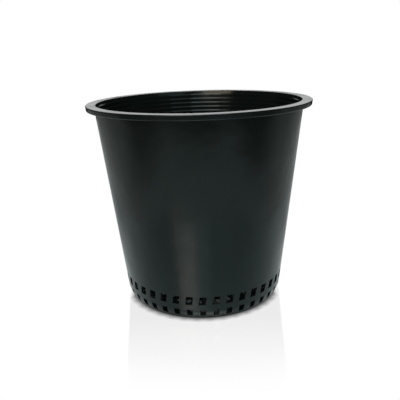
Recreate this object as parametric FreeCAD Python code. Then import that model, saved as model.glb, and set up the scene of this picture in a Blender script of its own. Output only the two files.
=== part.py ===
import FreeCAD, Part
import math
import os

# Growing pot moulded in one piece: a tapered wall under a flanged rim with a turned-down lip,
# pierced by rows of square openings at its foot, and a mesh floor of slots in rings.
# Millimetres. +Z is up along the pot's axis, and the origin is on that axis in the standing plane.

# Rim. The lip tapers to its lower edge on its outside, and is upright inside, where the flange rests
rim_diameter = 254.0
height = 228.0
flange_thickness = 2.2
lip_depth = 5.8
lip_thickness = 1.9
lip_draft = 0.7

# Wall, measured on its outside, and the inward slope below the bend at its foot
wall_thickness = 2.0
wall_top_diameter = 235.7
bend_diameter = 187.6
bend_height = 8.5
base_diameter = 178.8

# Floor, lifted off the ground by the foot ring around it, with a shallow well at the moulding gate
floor_thickness = 2.2
floor_lift = 1.5
foot_width = 3.2
gate_diameter = 8.0
gate_depth = 0.7

# Openings through the wall, in columns that both rows share
column_count = 40
upper_opening_width = 7.8
upper_opening_height = 10.0
upper_opening_sill = 18.7
lower_opening_width = 6.5
lower_opening_height = 8.3
lower_opening_sill = 4.1

# Slots through the floor, inside a plain border along the foot ring. Each ring of slots outwards has
# slot_step slots more than the one before
floor_border = 3.7
slot_ring_count = 4
slot_step = 10
slot_length = 13.0
web_width = 4.6

# Radii of the eased edges, and the most of a straight side that one eased corner may take
mouth_edge = 0.6
rim_edge = 0.9
base_edge = 1.2
eased_share = 0.45

rim_radius = rim_diameter / 2
flange_underside = height - flange_thickness
lip_bottom = height - lip_depth
floor_top = floor_lift + floor_thickness
foot_radius = base_diameter / 2 - foot_width
slot_ring_pitch = (foot_radius - floor_border - slot_length / 2) / slot_ring_count
axis_up = FreeCAD.Vector(0, 0, 1)
centre = FreeCAD.Vector(0, 0, 0)


def point(radius, level):
    """A point of the pot's section, which is drawn at the right of its axis."""
    return FreeCAD.Vector(radius, 0, level)


def inset(line, distance):
    """The same run of straight lines, moved towards the axis by a distance square to each line."""
    normals = []
    for start, end in zip(line, line[1:]):
        run = (end - start).normalize()
        normals.append(FreeCAD.Vector(-run.z, 0, run.x))
    moved = [line[0] + normals[0] * distance]
    for corner, before, after in zip(line[1:], normals, normals[1:]):
        moved.append(corner + (before + after) * (distance / (1 + before.dot(after))))
    moved.append(line[-1] + normals[-1] * distance)
    return moved


def at_level(line, level):
    """The point where a rising run of lines, carried on past its ends, is at a level."""
    spans = list(zip(line, line[1:]))
    start, end = next((span for span in spans if level <= span[1].z), spans[-1])
    share = (level - start.z) / (end.z - start.z)
    return start + (end - start) * share


def eased_face(corners):
    """A face inside (point, radius, flats) corners. A corner follows the arc of its radius, as far as its
    sides have room, in that many flats, and none leaves it sharp."""
    outline = []
    for index, (corner, radius, flats) in enumerate(corners):
        if not flats:
            outline.append(corner)
            continue
        before = corners[index - 1][0] - corner
        after = corners[(index + 1) % len(corners)][0] - corner
        half_angle = before.getAngle(after) / 2
        room = eased_share * min(before.Length, after.Length)
        reach = min(radius / math.tan(half_angle), room)
        start = corner + before.normalize() * reach
        end = corner + after.normalize() * reach
        # The arc's middle lies on the line that halves the corner's angle.
        inward = reach * (1 - math.sin(half_angle)) / math.cos(half_angle)
        middle = corner + (before + after).normalize() * inward
        outline += Part.Arc(start, middle, end).discretize(flats + 1)
    return Part.Face(Part.makePolygon(outline + outline[:1]))


def wall_lines():
    """The outside and the inside of the wall in section, from the floor up to the rim."""
    outside = [point(base_diameter / 2, 0), point(bend_diameter / 2, bend_height),
               point(wall_top_diameter / 2, height)]
    return outside, inset(outside, wall_thickness)


def body():
    """The whole pot before it is pierced, turned about its axis from one section."""
    outside, inside = wall_lines()
    gate_radius = gate_diameter / 2
    gate_top = floor_lift + gate_depth
    lip_inner_radius = rim_radius - lip_thickness
    section = [
        (point(0, gate_top), 0, 0),
        (point(gate_radius, gate_top), 0, 0),
        (point(gate_radius, floor_lift), 0, 0),
        (point(foot_radius, floor_lift), 0, 0),
        (point(foot_radius, 0), 0, 0),
        (outside[0], base_edge, 1),
        (outside[1], 0, 0),
        (at_level(outside, flange_underside), 0, 0),
        (point(lip_inner_radius, flange_underside), 0, 0),
        (point(lip_inner_radius, lip_bottom), 0, 0),
        (point(rim_radius - lip_draft, lip_bottom), 0, 0),
        (point(rim_radius, height), rim_edge, 2),
        (at_level(inside, height), mouth_edge, 1),
        (inside[1], 0, 0),
        (at_level(inside, floor_top), 0, 0),
        (point(0, floor_top), 0, 0),
    ]
    face = eased_face(section)
    # The turned body's seam falls between two columns of openings.
    face.rotate(centre, axis_up, 180 / column_count)
    return face.revolve(centre, axis_up, 360)


def turned_copies(shape, count):
    """Copies of a shape, evenly spaced about the pot's axis."""
    copies = []
    for index in range(count):
        copy = shape.copy()
        copy.rotate(centre, axis_up, index * 360 / count)
        copies.append(copy)
    return copies


def wall_openings(width, sill, opening_height):
    """One row of cutters through the wall, with level tops and sills and sides that face the axis."""
    outside, inside = wall_lines()
    top = sill + opening_height
    near = at_level(inside, sill).x - wall_thickness
    far = at_level(outside, top).x + wall_thickness
    middle_radius = at_level(outside, sill + opening_height / 2).x
    spread = 2 * math.degrees(math.asin(width / 2 / middle_radius))
    outline = [point(near, sill), point(far, sill), point(far, top), point(near, top)]
    section = Part.Face(Part.makePolygon(outline + outline[:1]))
    section.rotate(centre, axis_up, -spread / 2)
    return turned_copies(section.revolve(centre, axis_up, spread), column_count)


def slot_corner(radius, side, count):
    """A slot's corner on a circle: the web between two slots has the same width all along."""
    angle = math.pi / count - math.asin(web_width / 2 / radius)
    return FreeCAD.Vector(radius * math.cos(angle), side * radius * math.sin(angle), 0)


def floor_slots(ring):
    """One ring of cutters through the floor."""
    count = ring * slot_step
    near = ring * slot_ring_pitch - slot_length / 2
    far = near + slot_length
    outline = [slot_corner(near, -1, count), slot_corner(far, -1, count),
               slot_corner(far, 1, count), slot_corner(near, 1, count)]
    base = Part.Face(Part.makePolygon(outline + outline[:1]))
    return turned_copies(base.extrude(axis_up * (floor_top + floor_thickness)), count)


def pot():
    """The finished pot."""
    cutters = wall_openings(upper_opening_width, upper_opening_sill, upper_opening_height)
    cutters += wall_openings(lower_opening_width, lower_opening_sill, lower_opening_height)
    for ring in range(1, slot_ring_count + 1):
        cutters += floor_slots(ring)
    return body().cut(cutters)


os.makedirs("parts", exist_ok=True)
finished = pot()
finished.exportStep("parts/mesh_bottom_pot.step")
box = finished.optimalBoundingBox()
print("mesh_bottom_pot:", len(finished.Solids), "solid, valid", finished.isValid())
print("volume", round(finished.Volume), "mm3, width", round(box.XLength, 2), "height", round(box.ZLength, 2))
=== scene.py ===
import math
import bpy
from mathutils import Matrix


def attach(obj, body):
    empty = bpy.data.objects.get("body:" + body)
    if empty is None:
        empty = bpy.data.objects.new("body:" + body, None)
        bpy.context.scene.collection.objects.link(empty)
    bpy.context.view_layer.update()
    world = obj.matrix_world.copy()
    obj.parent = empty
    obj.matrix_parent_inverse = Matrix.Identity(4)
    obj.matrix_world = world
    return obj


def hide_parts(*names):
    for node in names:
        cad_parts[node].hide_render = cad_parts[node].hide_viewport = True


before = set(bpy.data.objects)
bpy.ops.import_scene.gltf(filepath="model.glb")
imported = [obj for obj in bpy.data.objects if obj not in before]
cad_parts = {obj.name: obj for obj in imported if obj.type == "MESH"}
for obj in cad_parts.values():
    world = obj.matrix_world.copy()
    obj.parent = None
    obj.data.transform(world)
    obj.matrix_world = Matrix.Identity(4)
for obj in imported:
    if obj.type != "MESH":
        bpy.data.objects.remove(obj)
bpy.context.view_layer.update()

import types

import bmesh
import bpy
from bpy.props import FloatProperty, FloatVectorProperty, IntProperty, PointerProperty
from mathutils import Matrix, Vector

# A moulded growing pot: a tapered wall with openings around its foot, a flanged rim, rings
# inside its mouth and a slotted floor. Metres. +Z is up along the pot's axis.

bl_info = {
    "name": "Mesh bottom pot",
    "version": (1, 0, 0),
    "blender": (4, 5, 0),
    "location": "View3D > Sidebar > Pot",
    "description": "Models a moulded growing pot with a slotted floor, and a pale studio around it",
    "category": "Object",
}

NODE = "mesh_bottom_pot"
MM = 0.001
MERGE_DISTANCE = 2e-6
# Steps of the turned section around the pot, a multiple of the columns of openings.
STEPS_AROUND = 360
SMOOTH_ANGLE = math.radians(40)
SHARP_ANGLE = math.radians(60)
ORIGIN = Vector((0, 0, 0))
UP = Vector((0, 0, 1))
# Radii that round the pot's edges and corners
EDGES = types.SimpleNamespace(
    mouth=0.6 * MM,  # inner edge of the flange's top
    rim=0.9 * MM,  # outer edge of the flange's top
    lip=1.2 * MM,  # lower edge of the lip, outside
    lip_inside=0.45 * MM,
    flange=0.6 * MM,  # corner between the lip and the flange's underside
    wall_top=1.2 * MM,  # corner between the flange's underside and the wall
    ring=1.2 * MM,  # crests and feet of the rings inside the mouth
    bend=16.0 * MM,  # outside of the wall's bend above the foot
    base=1.2 * MM,  # outer edge of the foot ring
    foot=0.4 * MM,  # inner edges of the foot ring
    floor=0.35 * MM,  # corner between the wall and the floor
    opening_corner=0.8 * MM,  # upright corners of the wall's openings
    opening=0.2 * MM,
    slot_corner=0.9 * MM,  # upright corners of the floor's slots
    slot=0.25 * MM,
)


def linear(hex_colour):
    """An sRGB hex colour as the linear RGBA that shaders take."""
    channels = [int(hex_colour[place:place + 2], 16) / 255 for place in (1, 3, 5)]
    return tuple(c / 12.92 if c <= 0.04045 else ((c + 0.055) / 1.055) ** 2.4 for c in channels) + (1.0,)


def length(label, description, millimetres):
    return FloatProperty(name=label, description=description, default=millimetres * MM,
                         subtype="DISTANCE", unit="LENGTH")


class PotSizes(bpy.types.PropertyGroup):
    """Sizes of the pot, the same as the solid's"""
    rim_diameter: length("Rim diameter", "Across the flange", 254.0)
    height: length("Height", "From the ground to the rim", 228.0)
    flange_thickness: length("Flange thickness", "Of the flat ring around the mouth", 2.2)
    lip_depth: length("Lip depth", "From the rim's top to the lip's lower edge", 5.8)
    lip_thickness: length("Lip thickness", "Of the edge that turns down from the flange", 1.9)
    lip_draft: length("Lip draft", "How far the lip's outside leans in", 0.7)
    wall_thickness: length("Wall thickness", "Of the tapered wall", 2.0)
    wall_top_diameter: length("Wall diameter at the rim", "Outside, carried on up to the rim", 235.7)
    bend_diameter: length("Wall diameter at the bend", "Outside, where the foot starts to slope in", 187.6)
    bend_height: length("Bend height", "Of the bend above the ground", 8.5)
    base_diameter: length("Base diameter", "Outside, on the ground", 178.8)
    floor_thickness: length("Floor thickness", "Of the slotted floor", 2.2)
    floor_lift: length("Floor lift", "Of the floor's underside above the ground", 1.5)
    foot_width: length("Foot width", "Of the ring that the pot stands on", 3.2)
    gate_diameter: length("Gate diameter", "Of the well under the floor where the plastic came in", 8.0)
    gate_depth: length("Gate depth", "Of that well", 0.7)


class OpeningSizes(bpy.types.PropertyGroup):
    """Sizes of the openings in the wall and of the slots in the floor"""
    column_count: IntProperty(name="Columns", description="Columns of openings around the wall",
                              default=40, min=3)
    upper_width: length("Upper width", "Of an opening in the upper row", 7.8)
    upper_height: length("Upper height", "Of an opening in the upper row", 10.0)
    upper_sill: length("Upper sill", "Lower edge of the upper row above the ground", 18.7)
    lower_width: length("Lower width", "Of an opening in the lower row", 6.5)
    lower_height: length("Lower height", "Of an opening in the lower row", 8.3)
    lower_sill: length("Lower sill", "Lower edge of the lower row above the ground", 4.1)
    slot_rings: IntProperty(name="Slot rings", description="Rings of slots in the floor", default=4, min=1)
    slot_step: IntProperty(name="Slot step", description="Slots that each ring has more than the one inside it",
                           default=10, min=3)
    slot_ring_pitch: length("Slot ring pitch", "From one ring of slots to the next", 19.0)
    slot_length: length("Slot length", "Of a slot, away from the axis", 13.0)
    web_width: length("Web width", "Between two slots", 4.6)


class RingSizes(bpy.types.PropertyGroup):
    """Sizes of the rings that run around the inside of the mouth"""
    count: IntProperty(name="Rings", description="Rings inside the mouth", default=6, min=0)
    depth: length("Depth", "Of the first ring's crest under the rim", 5.1)
    pitch: length("Pitch", "From one ring to the next", 5.3)
    height: length("Height", "Of a ring above the wall", 0.28)
    upper_side: length("Upper side", "From a ring's crest up to the wall. Its lower side takes the rest", 1.4)


class PotFinish(bpy.types.PropertyGroup):
    """Colour and gloss of the plastic"""
    colour: FloatVectorProperty(name="Plastic", description="Colour of the moulded plastic",
                                subtype="COLOR", size=4, min=0, max=1, default=linear("#0b100f"))
    sheen: FloatVectorProperty(name="Sheen", description="Tint of what the skin mirrors square to the eye",
                               subtype="COLOR", size=4, min=0, max=1, default=linear("#e0ffff"))
    roughness: FloatProperty(name="Roughness", description="Of the moulded surface", default=0.16,
                             min=0, max=1, subtype="FACTOR")


class StudioLook(bpy.types.PropertyGroup):
    """The floor and the light around the pot"""
    floor_colour: FloatVectorProperty(name="Floor", description="Colour of the pale floor",
                                      subtype="COLOR", size=4, min=0, max=1, default=linear("#dee9e8"))
    floor_front: length("Floor front", "From the pot's axis to the floor's front edge", 1000.0)
    floor_side: length("Floor side", "From the pot's axis to either side of the floor", 1600.0)
    backdrop_distance: length("Backdrop distance", "From the pot's axis back to the white paper", 1200.0)
    backdrop_width: length("Backdrop width", "Of the white paper", 1240.0)
    backdrop_height: length("Backdrop height", "Of the white paper", 1300.0)
    backdrop_bottom: length("Backdrop bottom", "Lower edge of the white paper above the floor", 320.0)
    covered_radius: length("Covered radius", "Of the floor that the pot covers", 87.5)
    room_size: length("Room size", "From one wall of the dark room to the other", 6000.0)
    room_level: FloatProperty(name="Room level", description="Brightness of the dark room, where 1 is white",
                              default=0.045, min=0)
    overhead_level: FloatProperty(name="Overhead level", description="Brightness of the softbox over the pot",
                                  default=6.2, min=0)
    back_level: FloatProperty(name="Back level", description="Brightness of the softbox over the floor behind",
                              default=1.2, min=0)
    front_level: FloatProperty(name="Front level", description="Brightness of the softbox behind the camera",
                               default=0.8, min=0)
    warm_level: FloatProperty(name="Warm level", description="Brightness of the warm lamps at the front left",
                              default=4.8, min=0)


def start_piece(name, place):
    """A new object in edit mode, with one vertex at a place."""
    bpy.ops.object.select_all(action="DESELECT")
    bpy.ops.mesh.primitive_plane_add(size=MM, location=(0, 0, 0))
    piece = bpy.context.object
    piece.name = name
    piece.data.name = name
    bpy.ops.object.mode_set(mode="EDIT")
    bpy.context.tool_settings.mesh_select_mode = (True, False, False)
    bpy.ops.mesh.select_all(action="SELECT")
    bpy.ops.mesh.merge(type="CENTER")
    bpy.ops.transform.translate(value=place)
    return piece


def pick(kind, wanted):
    """Select the vertices, edges or faces of the edited mesh that a test wants, and nothing else."""
    bpy.context.tool_settings.mesh_select_mode = (kind == "VERT", kind == "EDGE", kind == "FACE")
    bpy.ops.mesh.select_all(action="DESELECT")
    mesh = bpy.context.edit_object.data
    shape = bmesh.from_edit_mesh(mesh)
    items = {"VERT": shape.verts, "EDGE": shape.edges, "FACE": shape.faces}[kind]
    picked = [item for item in items if wanted(item)]
    for item in picked:
        item.select_set(True)
    bmesh.update_edit_mesh(mesh)
    if not picked:
        raise RuntimeError("nothing of kind %s is where it was looked for" % kind)


def pick_vertex_at(place):
    shape = bmesh.from_edit_mesh(bpy.context.edit_object.data)
    nearest = min(shape.verts, key=lambda vertex: (vertex.co - place).length).index
    pick("VERT", lambda vertex: vertex.index == nearest)


def radius_of(co):
    return math.hypot(co.x, co.y)


def azimuth_of(co):
    return math.atan2(co.y, co.x)


def section_point(radius, level):
    return Vector((radius, 0, level))


def inset(line, distance):
    """The same run of straight lines, moved towards the axis by a distance square to each line."""
    normals = []
    for start, end in zip(line, line[1:]):
        run = (end - start).normalized()
        normals.append(Vector((-run.z, 0, run.x)))
    moved = [line[0] + normals[0] * distance]
    for corner, before, after in zip(line[1:], normals, normals[1:]):
        moved.append(corner + (before + after) * (distance / (1 + before.dot(after))))
    moved.append(line[-1] + normals[-1] * distance)
    return moved


def at_level(line, level):
    """The point where a rising run of lines, carried on past its ends, is at a level."""
    spans = list(zip(line, line[1:]))
    start, end = next((span for span in spans if level <= span[1].z), spans[-1])
    return start.lerp(end, (level - start.z) / (end.z - start.z))


def inner_foot_radius(sizes):
    return sizes.base_diameter / 2 - sizes.foot_width


def wall_lines(sizes):
    """The outside and the inside of the wall in section, from the foot up to the rim."""
    outside = [section_point(sizes.base_diameter / 2, 0),
               section_point(sizes.bend_diameter / 2, sizes.bend_height),
               section_point(sizes.wall_top_diameter / 2, sizes.height)]
    return outside, inset(outside, sizes.wall_thickness)


def opening_rows(openings):
    """Sill, top and width of each row of openings."""
    return (
        (openings.lower_sill, openings.lower_sill + openings.lower_height, openings.lower_width),
        (openings.upper_sill, openings.upper_sill + openings.upper_height, openings.upper_width),
    )


def wall_corners(sizes, openings, rings, join_radius):
    """The section's corners, each with the radius that rounds it and the flats in that round.

    They run from the floor's upper skin up the inside of the wall, over the rim and the lip, down
    the outside and under the foot, to the floor's underside."""
    outside, inside = wall_lines(sizes)
    floor_top = sizes.floor_lift + sizes.floor_thickness
    rim_radius = sizes.rim_diameter / 2
    flange_underside = sizes.height - sizes.flange_thickness
    lip_bottom = sizes.height - sizes.lip_depth
    lip_inner_radius = rim_radius - sizes.lip_thickness
    foot_radius = inner_foot_radius(sizes)
    levels = sorted(level for sill, top, width in opening_rows(openings) for level in (sill, top))

    corners = [(section_point(join_radius, floor_top), 0, 0), (at_level(inside, floor_top), EDGES.floor, 2)]
    inner_bend = EDGES.bend - sizes.wall_thickness
    risers = [(at_level(inside, level), 0, 0) for level in levels] + [(inside[1], inner_bend, 4)]
    corners += sorted(risers, key=lambda corner: corner[0].z)
    for index in reversed(range(rings.count)):
        crest_level = sizes.height - rings.depth - index * rings.pitch
        crest = section_point(at_level(inside, crest_level).x - rings.height, crest_level)
        lower_end = crest_level + rings.upper_side - rings.pitch
        corners += [(at_level(inside, lower_end), EDGES.ring, 2), (crest, EDGES.ring, 3)]
    corners += [
        (at_level(inside, sizes.height - rings.depth + rings.upper_side), EDGES.ring, 2),
        (at_level(inside, sizes.height), EDGES.mouth, 4),
        (section_point(rim_radius, sizes.height), EDGES.rim, 5),
        (section_point(rim_radius - sizes.lip_draft, lip_bottom), EDGES.lip, 5),
        (section_point(lip_inner_radius, lip_bottom), EDGES.lip_inside, 3),
        (section_point(lip_inner_radius, flange_underside), EDGES.flange, 3),
        (at_level(outside, flange_underside), EDGES.wall_top, 4),
    ]
    fallers = [(at_level(outside, level), 0, 0) for level in levels] + [(outside[1], EDGES.bend, 5)]
    corners += sorted(fallers, key=lambda corner: -corner[0].z)
    corners += [
        (outside[0], EDGES.base, 4),
        (section_point(foot_radius, 0), EDGES.foot, 2),
        (section_point(foot_radius, sizes.floor_lift), EDGES.foot, 2),
        (section_point(join_radius, sizes.floor_lift), 0, 0),
    ]
    return corners


def draw_section(corners):
    """Draw the section by extruding a vertex from corner to corner, then round its corners."""
    piece = start_piece("moulded_pot", corners[0][0])
    for (start, _, _), (end, _, _) in zip(corners, corners[1:]):
        bpy.ops.mesh.extrude_region_move(TRANSFORM_OT_translate={"value": end - start})
    for (before, _, _), (corner, rounding, flats), (after, _, _) in zip(corners, corners[1:], corners[2:]):
        if flats:
            turn = (corner - before).angle(after - corner)
            pick_vertex_at(corner)
            bpy.ops.mesh.bevel(offset=rounding * math.tan(turn / 2), segments=flats, affect="VERTICES")
    return piece


def sweep(angle, steps):
    """Turn all that is in the edited mesh about the pot's axis, from half the angle on either side."""
    bpy.ops.mesh.select_all(action="SELECT")
    bpy.ops.transform.rotate(value=angle / 2, orient_axis="Z", center_override=ORIGIN)
    shape = bmesh.from_edit_mesh(bpy.context.edit_object.data)
    turned = azimuth_of(next(iter(shape.verts)).co)
    bpy.ops.mesh.spin(steps=steps, angle=math.copysign(angle, turned), center=ORIGIN, axis=UP)


def turn_copies(count):
    """Fill the circle with copies of all that is in the edited mesh."""
    bpy.ops.mesh.select_all(action="SELECT")
    bpy.ops.mesh.spin(steps=count - 1, dupli=True, angle=2 * math.pi * (count - 1) / count,
                      center=ORIGIN, axis=UP)
    bpy.ops.mesh.select_all(action="SELECT")
    bpy.ops.mesh.remove_doubles(threshold=MERGE_DISTANCE)


def pierce_wall(sizes, openings, step):
    """Cut one opening of each row through both skins of the wall's wedge, and round its edges."""
    outside, inside = wall_lines(sizes)
    slack = 0.02 * MM
    bend_room = 0.6 * MM
    angle_slack = step / 100

    def on_wall(co):
        """True on either skin of the wall, also in the rounds of its bend, which leave the lines a little."""
        return at_level(inside, co.z).x - bend_room < radius_of(co) < at_level(outside, co.z).x + bend_room

    for sill, top, width in opening_rows(openings):
        half_angle = math.asin(width / 2 / at_level(outside, (sill + top) / 2).x)
        line = round(half_angle / step - 0.5) + 0.5
        for side in (1, -1):
            grid_angle = side * line * step
            pick("VERT", lambda vertex: sill - slack < vertex.co.z < top + slack and on_wall(vertex.co)
                 and abs(azimuth_of(vertex.co) - grid_angle) < step / 4)
            bpy.ops.transform.rotate(value=side * half_angle - grid_angle, orient_axis="Z",
                                     center_override=ORIGIN)
            shape = bmesh.from_edit_mesh(bpy.context.edit_object.data)
            moved = next(vertex for vertex in shape.verts if vertex.select)
            if abs(azimuth_of(moved.co) - side * half_angle) > angle_slack:
                # With no window the operator may turn the other way.
                bpy.ops.transform.rotate(value=2 * (grid_angle - side * half_angle), orient_axis="Z",
                                         center_override=ORIGIN)
        pick("FACE", lambda face: on_wall(face.calc_center_median())
             and sill < face.calc_center_median().z < top
             and abs(azimuth_of(face.calc_center_median())) < half_angle)
        bpy.ops.mesh.delete(type="FACE")
        pick("EDGE", lambda edge: edge.is_boundary and all(
            on_wall(vertex.co) and sill - slack < vertex.co.z < top + slack
            and abs(azimuth_of(vertex.co)) < half_angle + angle_slack for vertex in edge.verts))
        bpy.ops.mesh.bridge_edge_loops()
        pick("EDGE", lambda edge: all(
            min(abs(vertex.co.z - sill), abs(vertex.co.z - top)) < slack
            and abs(abs(azimuth_of(vertex.co)) - half_angle) < angle_slack for vertex in edge.verts)
            and abs(radius_of(edge.verts[0].co) - radius_of(edge.verts[1].co)) > sizes.wall_thickness / 2)
        bpy.ops.mesh.bevel(offset=EDGES.opening_corner, segments=3)
    round_sharp_edges(EDGES.opening)


def round_sharp_edges(offset):
    """Round every sharp edge of the edited mesh."""
    bpy.context.tool_settings.mesh_select_mode = (False, True, False)
    # Faces that look opposite ways would count as a sharp edge.
    bpy.ops.mesh.select_all(action="SELECT")
    bpy.ops.mesh.normals_make_consistent()
    bpy.ops.mesh.select_all(action="DESELECT")
    bpy.ops.mesh.edges_select_sharp(sharpness=SHARP_ANGLE)
    bpy.ops.mesh.bevel(offset=offset, segments=2)


def add_prism(corners, low, high):
    """An object with an upright prism over flat corners, drawn by extruding."""
    piece = start_piece("slot_cutter", corners[0] + UP * low)
    for start, end in zip(corners, corners[1:]):
        bpy.ops.mesh.extrude_region_move(TRANSFORM_OT_translate={"value": end - start})
    bpy.ops.mesh.select_all(action="SELECT")
    bpy.ops.mesh.edge_face_add()
    bpy.ops.mesh.extrude_region_move(TRANSFORM_OT_translate={"value": UP * (high - low)})
    bpy.ops.mesh.select_all(action="SELECT")
    bpy.ops.mesh.normals_make_consistent()
    return piece


def slot_corner(radius, side, count, web_width):
    """A slot's corner on a circle: the web between two slots has the same width all along."""
    angle = math.pi / count - math.asin(web_width / 2 / radius)
    return Vector((radius * math.cos(angle), side * radius * math.sin(angle), 0))


def make_floor(sizes, openings, join_radius):
    """The slotted floor, a plate whose rim has a vertex wherever the wall's section was turned to."""
    low = sizes.floor_lift
    high = low + sizes.floor_thickness
    cutters = []
    for ring in range(1, openings.slot_rings + 1):
        count = ring * openings.slot_step
        near = ring * openings.slot_ring_pitch - openings.slot_length / 2
        far = near + openings.slot_length
        corners = [slot_corner(radius, side, count, openings.web_width)
                   for radius, side in ((near, -1), (far, -1), (far, 1), (near, 1))]
        cutter = add_prism(corners, 0, high + sizes.floor_thickness)
        pick("EDGE", lambda edge: abs(edge.verts[0].co.z - edge.verts[1].co.z) > low)
        bpy.ops.mesh.bevel(offset=EDGES.slot_corner, segments=3)
        turn_copies(count)
        bpy.ops.object.mode_set(mode="OBJECT")
        cutters.append(cutter)
    bpy.ops.object.select_all(action="DESELECT")
    bpy.ops.mesh.primitive_cylinder_add(vertices=48, radius=sizes.gate_diameter / 2,
                                        depth=2 * sizes.gate_depth, location=(0, 0, low))
    bpy.ops.object.transform_apply(location=True, rotation=True, scale=True)
    cutters.append(bpy.context.object)

    bpy.ops.object.select_all(action="DESELECT")
    bpy.ops.mesh.primitive_cylinder_add(vertices=STEPS_AROUND, radius=join_radius, depth=high - low,
                                        location=(0, 0, (low + high) / 2),
                                        rotation=(0, 0, math.pi / STEPS_AROUND))
    plate = bpy.context.object
    plate.name = "floor_plate"
    bpy.ops.object.transform_apply(location=True, rotation=True, scale=True)
    for cutter in cutters:
        cut = plate.modifiers.new("cut", "BOOLEAN")
        cut.operation = "DIFFERENCE"
        cut.solver = "EXACT"
        cut.object = cutter
        bpy.context.view_layer.objects.active = plate
        bpy.ops.object.modifier_apply(modifier=cut.name)
    for cutter in cutters:
        bpy.ops.object.select_all(action="DESELECT")
        cutter.select_set(True)
        bpy.ops.object.delete()
    bpy.ops.object.select_all(action="DESELECT")
    plate.select_set(True)
    bpy.context.view_layer.objects.active = plate
    bpy.ops.object.mode_set(mode="EDIT")
    pick("FACE", lambda face: abs(face.normal.z) < 0.5
         and radius_of(face.calc_center_median()) > join_radius - 0.1 * MM)
    bpy.ops.mesh.delete(type="FACE")
    round_sharp_edges(EDGES.slot)
    bpy.ops.object.mode_set(mode="OBJECT")
    return plate


def add_node(tree, kind, settings=None, links=None):
    """Add a shader node, with its settings or socket values and what its sockets are linked from."""
    node = tree.nodes.new(kind)
    for key, value in (settings or {}).items():
        if isinstance(key, int) or key in node.inputs:
            node.inputs[key].default_value = value
        else:
            setattr(node, key, value)
    for key, socket in (links or {}).items():
        tree.links.new(socket, node.inputs[key])
    return node


def new_material(name):
    material = bpy.data.materials.new(name)
    material.use_nodes = True
    material.node_tree.nodes.clear()
    return material, material.node_tree


def moulded_polypropylene(finish):
    """Injection-moulded polypropylene coloured with carbon black: a deep, faintly green black under
    a glossy skin, whose slight waviness and fine texture blur what it mirrors."""
    material, tree = new_material("injection_moulded_black_polypropylene")
    place = add_node(tree, "ShaderNodeTexCoord").outputs["Object"]
    # Sink and flow of the melt leave the skin wavy over a few centimetres.
    waves = add_node(tree, "ShaderNodeTexNoise", {"Scale": 24.0, "Detail": 2.0, "Roughness": 0.5},
                     {"Vector": place}).outputs["Fac"]
    # The mould's polish leaves a texture too fine to show, drawn at 0.7 mm.
    polish = add_node(tree, "ShaderNodeTexNoise", {"Scale": 1400.0, "Detail": 2.0},
                      {"Vector": place}).outputs["Fac"]
    wave_bump = add_node(tree, "ShaderNodeBump", {"Strength": 0.5, "Distance": 0.0018}, {"Height": waves})
    bump = add_node(tree, "ShaderNodeBump", {"Strength": 0.05, "Distance": 0.00005},
                    {"Height": polish, "Normal": wave_bump.outputs["Normal"]})
    roughness = add_node(tree, "ShaderNodeMapRange",
                         {"From Min": 0.3, "From Max": 0.7, "To Min": finish.roughness * 0.85,
                          "To Max": finish.roughness * 1.2}, {"Value": waves})
    # The specular level is matched to the photo, and stands for no measured property.
    shader = add_node(tree, "ShaderNodeBsdfPrincipled",
                      {"Base Color": tuple(finish.colour), "IOR": 1.49, "Specular IOR Level": 0.36,
                       "Specular Tint": tuple(finish.sheen)},
                      {"Roughness": roughness.outputs["Result"], "Normal": bump.outputs["Normal"]})
    add_node(tree, "ShaderNodeOutputMaterial", {}, {"Surface": shader.outputs["BSDF"]})
    return material


class POT_OT_body(bpy.types.Operator):
    """Model the whole pot, which is one moulding, in place of its solid"""
    bl_idname = "pot.body"
    bl_label = "Moulded pot"
    bl_options = {"REGISTER", "UNDO"}

    def execute(self, context):
        scene = context.scene
        sizes, openings = scene.pot_sizes, scene.pot_openings
        step = 2 * math.pi / STEPS_AROUND
        steps_per_column = STEPS_AROUND // openings.column_count
        # The plate of the floor meets the turned section a little inside the foot ring.
        join_radius = inner_foot_radius(sizes) - 0.6 * MM

        plate = make_floor(sizes, openings, join_radius)
        pot = draw_section(wall_corners(sizes, openings, scene.pot_rings, join_radius))
        sweep(step * steps_per_column, steps_per_column)
        pierce_wall(sizes, openings, step)
        turn_copies(openings.column_count)
        bpy.ops.object.mode_set(mode="OBJECT")

        bpy.ops.object.select_all(action="DESELECT")
        plate.select_set(True)
        pot.select_set(True)
        context.view_layer.objects.active = pot
        bpy.ops.object.join()
        bpy.ops.object.mode_set(mode="EDIT")
        bpy.ops.mesh.select_all(action="SELECT")
        bpy.ops.mesh.remove_doubles(threshold=MERGE_DISTANCE)
        bpy.ops.mesh.normals_make_consistent()
        bpy.ops.object.mode_set(mode="OBJECT")
        bpy.ops.object.transform_apply(location=True, rotation=True, scale=True)
        bpy.ops.object.shade_smooth_by_angle(angle=SMOOTH_ANGLE)
        weighted = pot.modifiers.new("weighted normals", "WEIGHTED_NORMAL")
        weighted.keep_sharp = True
        bpy.ops.object.modifier_apply(modifier=weighted.name)

        pot.data.materials.clear()
        pot.data.materials.append(moulded_polypropylene(scene.pot_finish))
        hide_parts(NODE)
        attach(pot, "root")
        return {"FINISHED"}


def stage_plane(name, size):
    """A plane of the studio, left in edit mode with all of it selected."""
    bpy.ops.object.select_all(action="DESELECT")
    bpy.ops.mesh.primitive_plane_add(size=1.0, location=(0, 0, 0))
    plane = bpy.context.object
    plane.name = name
    bpy.ops.object.mode_set(mode="EDIT")
    bpy.ops.mesh.select_all(action="SELECT")
    bpy.ops.transform.resize(value=(size[0], size[1], 1.0))
    return plane


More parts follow.
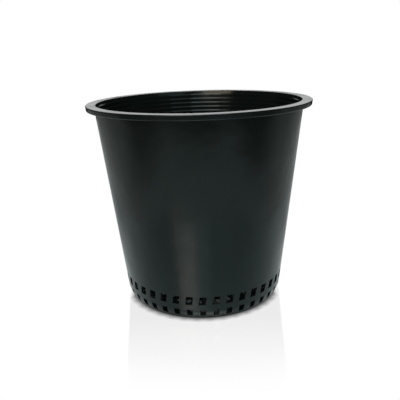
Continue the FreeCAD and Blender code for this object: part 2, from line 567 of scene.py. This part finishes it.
def background_rays(tree):
    """1 for the rays of the camera, of gloss and of glass, and 0 for the light that falls on surfaces."""
    rays = add_node(tree, "ShaderNodeLightPath")
    seen = add_node(tree, "ShaderNodeMath", {"operation": "MAXIMUM"},
                    {0: rays.outputs["Is Camera Ray"], 1: rays.outputs["Is Glossy Ray"]})
    return add_node(tree, "ShaderNodeMath", {"operation": "MAXIMUM"},
                    {0: seen.outputs[0], 1: rays.outputs["Is Transmission Ray"]}).outputs[0]


def white_laminate(look):
    """White polished laminate. The camera sees it plain white, with the shade where the pot stands and
    a faint reflection that fades out towards the front. The pot mirrors it in its own pale colour where
    the picture takes it in, with painted light that is brightest beside the pot, and past that as the
    lamps light it, with a painted falloff that dims it to the front and the sides. Under the pot it has
    painted shade. Those parts are fixed places on the floor, laid out for the one camera of this scene."""
    material, tree = new_material("white_polished_laminate")
    place = add_node(tree, "ShaderNodeTexCoord").outputs["Object"]
    spot = add_node(tree, "ShaderNodeSeparateXYZ", {}, {"Vector": place})
    along = spot.outputs["Y"]

    def calculate(operation, *values):
        settings = {"operation": operation}
        links = {}
        for index, value in enumerate(values):
            (settings if isinstance(value, (int, float)) else links)[index] = value
        return add_node(tree, "ShaderNodeMath", settings, links).outputs[0]

    def fall(value, near, far, low, high):
        """Goes smoothly from low to high while the value goes from near to far."""
        return add_node(tree, "ShaderNodeMapRange",
                        {"interpolation_type": "SMOOTHSTEP", "From Min": near, "From Max": far,
                         "To Min": low, "To Max": high}, {"Value": value}).outputs["Result"]

    aside = calculate("ABSOLUTE", spot.outputs["X"])
    from_axis = add_node(tree, "ShaderNodeVectorMath", {"operation": "LENGTH"}, {0: place}).outputs["Value"]
    # How the lit floor dims to the front and the sides is matched to the photo too, and isn't worked
    # out from lamps.
    # Painted light falloff: the floor's own colour is scaled down to the front and the sides.
    front = fall(along, -0.84, -0.38, 0.06, 0.7)
    side = fall(along, -0.35, 0.05, 0.2, 0.75)
    level = add_node(tree, "ShaderNodeMix", {"data_type": "FLOAT"},
                     {0: fall(aside, 0.26, 0.54, 0.0, 1.0), 2: front, 3: side}).outputs[0]
    # Painted shade: under the pot the floor's colour is darkened.
    painted_shade_under_pot = fall(from_axis, look.covered_radius - 4 * MM, look.covered_radius, 0.15, 1.0)
    level = calculate("MULTIPLY", level, painted_shade_under_pot)
    colour = add_node(tree, "ShaderNodeVectorMath", {"operation": "SCALE", 0: tuple(look.floor_colour)[:3]},
                      {"Scale": level}).outputs[0]
    lit = add_node(tree, "ShaderNodeBsdfDiffuse", {}, {"Color": colour})

    # The pot's own gloss sees the floor in its colour and less of its shade, more of what the floor
    # mirrors, and sees that softer.
    rays = add_node(tree, "ShaderNodeLightPath")
    glossy = rays.outputs["Is Glossy Ray"]
    shade = add_node(tree, "ShaderNodeAmbientOcclusion", {"Distance": 0.008, "samples": 16}).outputs["AO"]
    shade = calculate("POWER", shade, calculate("MULTIPLY_ADD", glossy, -0.7, 1.5))
    # The shade is where the pot stands, and not beside it, where the wall only leans over the floor.
    beside_pot = fall(aside, look.covered_radius - 7 * MM, look.covered_radius + 2 * MM, 0.0, 1.0)
    shade = calculate("MAXIMUM", shade, beside_pot)
    tint = add_node(tree, "ShaderNodeMix",
                    {"data_type": "RGBA", 6: (1, 1, 1, 1), 7: tuple(look.floor_colour)},
                    {0: glossy}).outputs[2]
    # The gloss sees the floor brightest beside the pot, matched to what the wall mirrors in the photo.
    # Painted light: the emission's strength is raised beside the pot and lowered to the front and the back.
    painted_light_pool = calculate("MULTIPLY", fall(along, -0.2, -0.03, 0.7, 1.0), fall(along, 0.0, 0.16, 1.0, 0.62))
    painted_light_pool = calculate("MAXIMUM", painted_light_pool, rays.outputs["Is Camera Ray"])
    white = add_node(tree, "ShaderNodeEmission", {},
                     {"Color": tint, "Strength": calculate("MULTIPLY", shade, painted_light_pool)})
    mirror = add_node(tree, "ShaderNodeBsdfGlossy", {"Color": (1, 1, 1, 1)},
                      {"Roughness": calculate("MULTIPLY_ADD", glossy, 0.2, 0.03)})
    fading = add_node(tree, "ShaderNodeMapRange",
                      {"From Min": -0.22, "From Max": -0.085, "To Min": 0.0, "To Max": 0.17},
                      {"Value": along}).outputs["Result"]
    share = calculate("MULTIPLY", fall(from_axis, 0.15, 0.26, 1.0, 0.0), fading)
    # It stays inside the strip where this scene's camera sees the pot mirrored, because past it the
    # floor would mirror the dark room.
    past_pot = calculate("SUBTRACT", aside, calculate("MULTIPLY_ADD", along, 0.2, 0.12))
    share = calculate("MULTIPLY", share, fall(past_pot, 0.0, 0.02, 1.0, 0.0))
    share = calculate("MAXIMUM", share, calculate("MULTIPLY", glossy, 0.2))
    seen_floor = add_node(tree, "ShaderNodeMixShader", {},
                          {0: share, 1: white.outputs[0], 2: mirror.outputs[0]})

    # The picture takes in a strip that widens away from the camera. Its numbers come from that camera.
    beside = calculate("SUBTRACT", aside, calculate("MULTIPLY_ADD", along, 0.383, 0.275))
    in_picture = calculate("MULTIPLY", fall(beside, 0.0, 0.05, 1.0, 0.0), fall(along, -0.34, -0.24, 0.0, 1.0))
    seen = calculate("MAXIMUM", in_picture, rays.outputs["Is Camera Ray"])
    seen = calculate("MULTIPLY", seen, calculate("GREATER_THAN", from_axis, look.covered_radius))
    seen = calculate("MULTIPLY", seen, background_rays(tree))
    mix = add_node(tree, "ShaderNodeMixShader", {}, {0: seen, 1: lit.outputs[0], 2: seen_floor.outputs[0]})
    add_node(tree, "ShaderNodeOutputMaterial", {}, {"Surface": mix.outputs[0]})
    return material


def white_paper(look):
    """Matt white paper behind the floor, which the camera and gloss see as plain white."""
    material, tree = new_material("white_paper")
    matt = add_node(tree, "ShaderNodeBsdfDiffuse", {"Color": tuple(look.floor_colour)})
    white = add_node(tree, "ShaderNodeEmission", {"Color": (1, 1, 1, 1), "Strength": 1.0})
    mix = add_node(tree, "ShaderNodeMixShader", {},
                   {0: background_rays(tree), 1: matt.outputs[0], 2: white.outputs[0]})
    add_node(tree, "ShaderNodeOutputMaterial", {}, {"Surface": mix.outputs[0]})
    return material


def dim_room_glow(look):
    """The room around the studio as a dim painted glow, an emission at the room's level and not cloth lit by
    the lamps, which the pot mirrors as near black.
    """
    material, tree = new_material("dark_room_glow")
    # Painted light: the room glows at a set dim level instead of being lit by the lamps.
    dim = add_node(tree, "ShaderNodeEmission", {"Color": linear("#c8ccce"), "Strength": look.room_level})
    add_node(tree, "ShaderNodeOutputMaterial", {}, {"Surface": dim.outputs[0]})
    return material


def stage_room(name, size):
    """A dark room around the studio, whose floor lies just under the studio's. The camera looks
    through it to the white world."""
    bpy.ops.object.select_all(action="DESELECT")
    bpy.ops.mesh.primitive_cube_add(size=size, location=(0, 0, size / 2 - 10 * MM))
    bpy.ops.object.transform_apply(location=True, rotation=True, scale=True)
    room = bpy.context.object
    room.name = name
    room.visible_camera = False
    return room


def light_world(scene, look):
    """A world as dim as the room, and plain white for the rays of the camera, of gloss and of glass. The
    room stands in front of it for all but the camera."""
    world = bpy.data.worlds.new("studio")
    scene.world = world
    world.use_nodes = True
    tree = world.node_tree
    tree.nodes.clear()
    room = add_node(tree, "ShaderNodeBackground", {"Color": linear("#c8ccce"), "Strength": look.room_level})
    white = add_node(tree, "ShaderNodeBackground", {"Color": (1, 1, 1, 1), "Strength": 1.0})
    mix = add_node(tree, "ShaderNodeMixShader", {},
                   {0: background_rays(tree), 1: room.outputs[0], 2: white.outputs[0]})
    add_node(tree, "ShaderNodeOutputWorld", {}, {"Surface": mix.outputs[0]})


def softbox(name, place, target, size, level, colour):
    """A lamp whose face has a given brightness, where 1 is white."""
    bpy.ops.object.light_add(type="AREA", location=place)
    lamp = bpy.context.object
    lamp.name = name
    lamp.data.shape = "RECTANGLE"
    lamp.data.size, lamp.data.size_y = size
    lamp.data.energy = level * math.pi * size[0] * size[1]
    lamp.data.color = linear(colour)[:3]
    lamp.visible_camera = False
    lamp.rotation_euler = (Vector(target) - Vector(place)).to_track_quat("-Z", "Y").to_euler()


def add_camera(scene):
    """The camera stands where a fit to the rim, the foot and the openings places it."""
    distance, level = 0.577395, 0.287753
    heading, tilt, roll = math.radians(1.29), 0.30102, 0.0316
    aim_aside = 0.00369
    bpy.ops.object.camera_add(location=(distance * math.sin(heading), -distance * math.cos(heading), level))
    camera = bpy.context.object
    camera.name = "camera"
    turn = (Matrix.Rotation(heading + aim_aside, 3, "Z") @ Matrix.Rotation(math.pi / 2 - tilt, 3, "X")
            @ Matrix.Rotation(-roll, 3, "Z"))
    camera.rotation_euler = turn.to_euler()
    camera.data.sensor_width = 36.0
    camera.data.lens = 44.99
    camera.data.clip_start = 0.01
    scene.camera = camera


class POT_OT_studio(bpy.types.Operator):
    """Set up the pale floor, the soft light and the camera"""
    bl_idname = "pot.studio"
    bl_label = "Studio"
    bl_options = {"REGISTER", "UNDO"}

    def execute(self, context):
        scene = context.scene
        look = scene.pot_studio
        floor = stage_plane("studio_floor", (2 * look.floor_side, look.backdrop_distance + look.floor_front))
        bpy.ops.transform.translate(value=(0, (look.backdrop_distance - look.floor_front) / 2, 0))
        bpy.ops.object.mode_set(mode="OBJECT")
        floor.data.materials.append(white_laminate(look))
        backdrop = stage_plane("studio_backdrop", (look.backdrop_width, look.backdrop_height))
        bpy.ops.transform.rotate(value=math.pi / 2, orient_axis="X", center_override=ORIGIN)
        bpy.ops.transform.translate(value=(0, look.backdrop_distance,
                                           look.backdrop_bottom + look.backdrop_height / 2))
        bpy.ops.object.mode_set(mode="OBJECT")
        backdrop.data.materials.append(white_paper(look))
        scene.view_settings.view_transform = "Standard"
        light_world(scene, look)
        room = stage_room("studio_room", look.room_size)
        room.data.materials.append(dim_room_glow(look))
        # Each softbox's name, place, the point that it faces, its size, brightness and colour
        softboxes = (
            ("overhead_softbox", (0, -0.35, 1.05), (0, 0, 0), (0.7, 0.7), look.overhead_level, "#ffffff"),
            ("back_softbox", (0, 0.8, 0.95), (0, 0.6, 0), (1.8, 0.5), look.back_level, "#ffffff"),
            ("wide_softbox", (0, -1.6, 1.05), (0, 0, 0.2), (2.6, 0.6), look.front_level * 0.7, "#ffffff"),
            ("front_softbox", (-0.19, -1.3, 0.85), (0, 0, 0.2), (0.8, 0.6), look.front_level * 2, "#ffffff"),
            ("right_softbox", (0.85, -1.15, 0.45), (0, 0, 0.2), (0.9, 0.5), look.front_level * 0.5, "#ffffff"),
            ("warm_softbox", (-0.92, -2.21, 1.95), (0, 0, 0), (1.1, 0.7), look.warm_level * 1.65, "#ffd6c8"),
            ("low_warm_softbox", (-0.52, -1.27, 0.42), (0, 0, 0.2), (0.9, 0.26), look.warm_level, "#ffccb0"),
        )
        for row in softboxes:
            softbox(*row)
        add_camera(scene)
        return {"FINISHED"}


class POT_PT_panel(bpy.types.Panel):
    """Sizes, finish and studio of the pot"""
    bl_idname = "POT_PT_panel"
    bl_label = "Mesh bottom pot"
    bl_space_type = "VIEW_3D"
    bl_region_type = "UI"
    bl_category = "Pot"

    def draw(self, context):
        layout = self.layout
        for name in GROUPS:
            group = getattr(context.scene, name)
            box = layout.box()
            for key in group.__annotations__:
                box.prop(group, key)
        for operator in (POT_OT_body, POT_OT_studio):
            layout.operator(operator.bl_idname)


GROUPS = {"pot_sizes": PotSizes, "pot_openings": OpeningSizes, "pot_rings": RingSizes,
          "pot_finish": PotFinish, "pot_studio": StudioLook}
CLASSES = (*GROUPS.values(), POT_OT_body, POT_OT_studio, POT_PT_panel)


def register():
    for entry in CLASSES:
        bpy.utils.register_class(entry)
    for name, group in GROUPS.items():
        setattr(bpy.types.Scene, name, PointerProperty(type=group))


def unregister():
    for name in GROUPS:
        delattr(bpy.types.Scene, name)
    for entry in reversed(CLASSES):
        bpy.utils.unregister_class(entry)


def main():
    register()
    bpy.ops.pot.body()
    bpy.ops.pot.studio()


if __name__ == "__main__":
    main()
